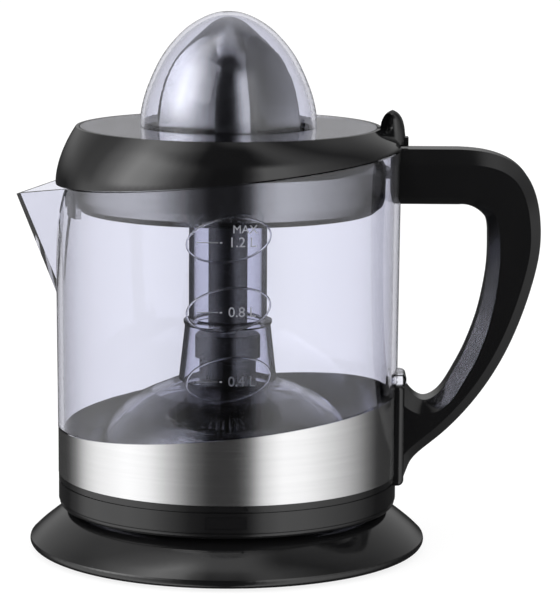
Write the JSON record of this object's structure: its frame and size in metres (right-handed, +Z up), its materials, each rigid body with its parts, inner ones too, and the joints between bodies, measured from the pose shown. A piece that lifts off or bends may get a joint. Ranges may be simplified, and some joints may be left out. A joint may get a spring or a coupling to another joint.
{
  "type": "citrus press juicer",
  "caption": "Electric citrus press with a ribbed steel reamer under a clear dome, a strainer ring, a clear spouted jug with a D handle and steel band, and a flared motor base.",
  "frame": {"origin": "on the drive axis at the table, in the plane of the rubber foot ring's rest face", "axes": "+Z up along the drive axis, +X towards the handle, -X towards the spout, -Y towards the litre scale at the front, +Y out of the cord gland at the rear"},
  "size_m": [0.2189, 0.1673, 0.2257],
  "materials": {
    "clear_plastic": "clear, slightly lavender",
    "gloss_black": "high gloss black",
    "smoked_gloss": "smoked dark, high gloss",
    "satin_black": "satin black",
    "polished_steel": "polished stainless steel",
    "brushed_band": "brushed stainless steel",
    "steel": "plain steel",
    "rubber": "matt",
    "nylon": "natural white nylon",
    "bronze": "sintered bronze",
    "copper": "enamelled copper winding",
    "ferrite": "ferrite magnet"
  },
  "bodies": {
    "base": {"base_housing": "gloss_black", "tower_cap": "satin_black", "output_bush": "bronze", "bottom_plate": "satin_black", "foot_ring": "rubber", "base_screws": "steel", "gearbox_plate": "steel", "gear_pin": "steel", "return_spring": "steel", "microswitch": "satin_black", "stator_poles": "steel", "motor_coil": "copper", "motor_can": "steel", "motor_lid": "steel", "cord_gland": "rubber"},
    "output_gear": {"output_gear": "nylon"},
    "output_shaft": {"output_shaft": "steel"},
    "spindle": {"spindle": "satin_black"},
    "reamer": {"cone_shell": "polished_steel", "cone_hub": "satin_black"},
    "jug": {"jug_wall": "clear_plastic", "jug_bell": "clear_plastic", "steel_band": "brushed_band", "jug_base_ring": "gloss_black", "handle_rail": "gloss_black", "handle_front": "gloss_black", "handle_rear": "gloss_black", "handle_screws": "steel"},
    "strainer": {"strainer_ring": "gloss_black", "strainer_bowl": "smoked_gloss"},
    "cover": {"dust_cover": "clear_plastic"},
    "idler": {"idler_gear": "nylon"},
    "rotor": {"motor_pinion": "bronze", "motor_shaft": "steel", "rotor_magnet": "ferrite"},
    "plunger": {"switch_plunger": "nylon"}
  },
  "joints": [
    {"name": "output_spin", "type": "hinge", "parent": "base", "child": "output_gear", "pos_m": [0, 0, 0.042], "axis": [0, 0, 1], "continuous": true},
    {"name": "press", "type": "slide", "parent": "output_gear", "child": "output_shaft", "axis": [0, 0, 1], "range_m": [-0.0025, 0], "stiffness_N_per_m": 1600, "springref_m": 0.003, "deforming": ["return_spring"]},
    {"name": "spindle_lift", "type": "slide", "parent": "output_shaft", "child": "spindle", "axis": [0, 0, 1], "range_m": [0, 0.085]},
    {"name": "reamer_lift", "type": "slide", "parent": "spindle", "child": "reamer", "axis": [0, 0, 1], "range_m": [0, 0.08]},
    {"name": "jug_lift", "type": "slide", "parent": "base", "child": "jug", "axis": [0, 0, 1], "range_m": [0, 0.085]},
    {"name": "strainer_lift", "type": "slide", "parent": "jug", "child": "strainer", "axis": [0, 0, 1], "range_m": [0, 0.08]},
    {"name": "cover_lift", "type": "slide", "parent": "strainer", "child": "cover", "axis": [0, 0, 1], "range_m": [0, 0.08]},
    {"name": "idler_spin", "type": "hinge", "parent": "base", "child": "idler", "pos_m": [-0.0304, 0, 0.038], "axis": [0, 0, 1], "continuous": true},
    {"name": "rotor_spin", "type": "hinge", "parent": "base", "child": "rotor", "pos_m": [-0.02352, -0.02569, 0.02], "axis": [0, 0, 1], "continuous": true},
    {"name": "plunger_slide", "type": "slide", "parent": "base", "child": "plunger", "axis": [0, 0, 1], "range_m": [-0.0025, 0]}
  ],
  "couplings": [
    {"joint": "spindle_lift", "follows": "jug_lift", "ratio": 1},
    {"joint": "reamer_lift", "follows": "strainer_lift", "ratio": 1},
    {"joint": "idler_spin", "follows": "rotor_spin", "ratio": -0.26667},
    {"joint": "output_spin", "follows": "rotor_spin", "ratio": 0.071111},
    {"joint": "plunger_slide", "follows": "press", "ratio": 1}
  ]
}
